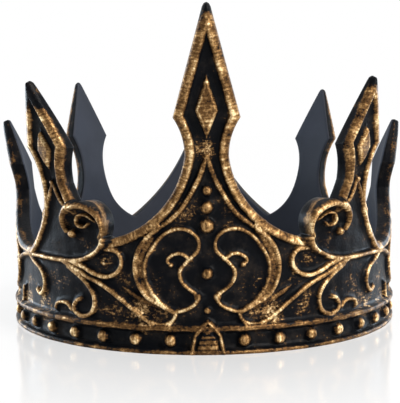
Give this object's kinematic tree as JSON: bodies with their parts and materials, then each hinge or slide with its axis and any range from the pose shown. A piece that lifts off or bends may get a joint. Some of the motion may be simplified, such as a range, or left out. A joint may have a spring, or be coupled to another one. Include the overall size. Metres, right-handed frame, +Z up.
{
  "type": "costume crown",
  "caption": "Round one-piece moulded costume crown with spear-shaped spikes, raised scrollwork and a beaded foot band, finished in worn gold over black.",
  "frame": {"origin": "on the axis of the round head opening, in the plane of the crown's foot", "axes": "+Z up along the head opening's axis, tallest front spike towards -Y, +X to the right of someone facing the front spike"},
  "size_m": [0.2144, 0.2334, 0.1505],
  "materials": {
    "gilded_foam": "black paint with gold brushed over the raised parts"
  },
  "bodies": {
    "root": {"crown": "gilded_foam"}
  },
  "joints": []
}
